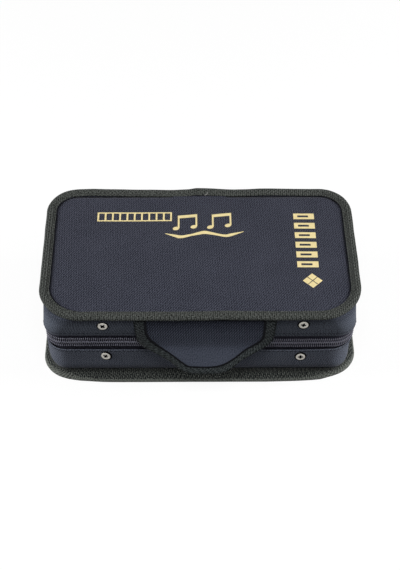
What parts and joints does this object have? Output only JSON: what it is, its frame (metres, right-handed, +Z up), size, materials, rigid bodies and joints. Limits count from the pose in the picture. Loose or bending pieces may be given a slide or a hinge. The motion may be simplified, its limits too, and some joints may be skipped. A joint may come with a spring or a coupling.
{
  "type": "harmonica case",
  "caption": "Soft zip-round case with bound edges, a rear fabric hinge, a front tongue over the sliders and a slotted foam tray.",
  "frame": {"origin": "middle of the flat underside, level with the surface the case stands on", "axes": "+X along the case's width, -Y towards the front with the tongue, +Z up"},
  "size_m": [0.262, 0.1691, 0.078],
  "materials": {
    "case_fabric": "charcoal twill",
    "binding_tape": "ribbed woven tape",
    "zip_tape": "close-woven zip tape",
    "zip_coil": "spun nylon coil",
    "rivet_nickel": "nickel-plated",
    "slider_metal": "dark nickel",
    "tray_foam": "closed-cell foam",
    "core_foam": "stiff foam sheet",
    "stiff_board": "grey board",
    "lining_fabric": "brushed lining cloth"
  },
  "bodies": {
    "base": {"base_panel": "case_fabric", "base_board": "stiff_board", "base_binding": "binding_tape", "base_wall": "case_fabric", "base_wall_foam": "core_foam", "base_lining": "lining_fabric", "tray_floor_foam": "tray_foam", "tray_slot_foam": "tray_foam", "lower_zip_tape": "zip_tape", "lower_zip_coil": "zip_coil", "rear_hinge_strip": "case_fabric", "base_rivets": "rivet_nickel", "base_rivet_washers": "rivet_nickel"},
    "lid": {"lid_panel": "case_fabric", "lid_board": "stiff_board", "lid_binding": "binding_tape", "lid_wall": "case_fabric", "lid_wall_foam": "core_foam", "lid_lining": "lining_fabric", "lid_foam_pad": "tray_foam", "upper_zip_tape": "zip_tape", "upper_zip_coil": "zip_coil", "lid_rivets": "rivet_nickel", "lid_rivet_washers": "rivet_nickel"},
    "tongue": {"tongue_panel": "case_fabric", "tongue_binding": "binding_tape"},
    "left_slider": {"left_slider": "slider_metal"},
    "left_pull": {"left_pull": "slider_metal"},
    "right_slider": {"right_slider": "slider_metal"},
    "right_pull": {"right_pull": "slider_metal"}
  },
  "joints": [
    {"name": "lid_hinge", "type": "hinge", "parent": "base", "child": "lid", "pos_m": [0, 0.0719, 0.0454], "axis": [-1, 0, 0], "range_deg": [0, 165], "deforming": ["rear_hinge_strip"]},
    {"name": "tongue_lift", "type": "hinge", "parent": "lid", "child": "tongue", "pos_m": [0.0036, -0.0737, 0.0718], "axis": [-1, 0, 0], "range_deg": [0, 80]},
    {"name": "left_slider_travel", "type": "slide", "parent": "base", "child": "left_slider", "axis": [-1, 0, 0], "range_m": [0, 0.08]},
    {"name": "left_pull_swing", "type": "hinge", "parent": "left_slider", "child": "left_pull", "pos_m": [-0.0107, -0.0739, 0.0454], "axis": [0, 1, 0], "range_deg": [-12, 90]},
    {"name": "right_slider_travel", "type": "slide", "parent": "base", "child": "right_slider", "axis": [1, 0, 0], "range_m": [0, 0.08]},
    {"name": "right_pull_swing", "type": "hinge", "parent": "right_slider", "child": "right_pull", "pos_m": [0.0107, -0.0739, 0.0454], "axis": [0, -1, 0], "range_deg": [-12, 90]}
  ]
}
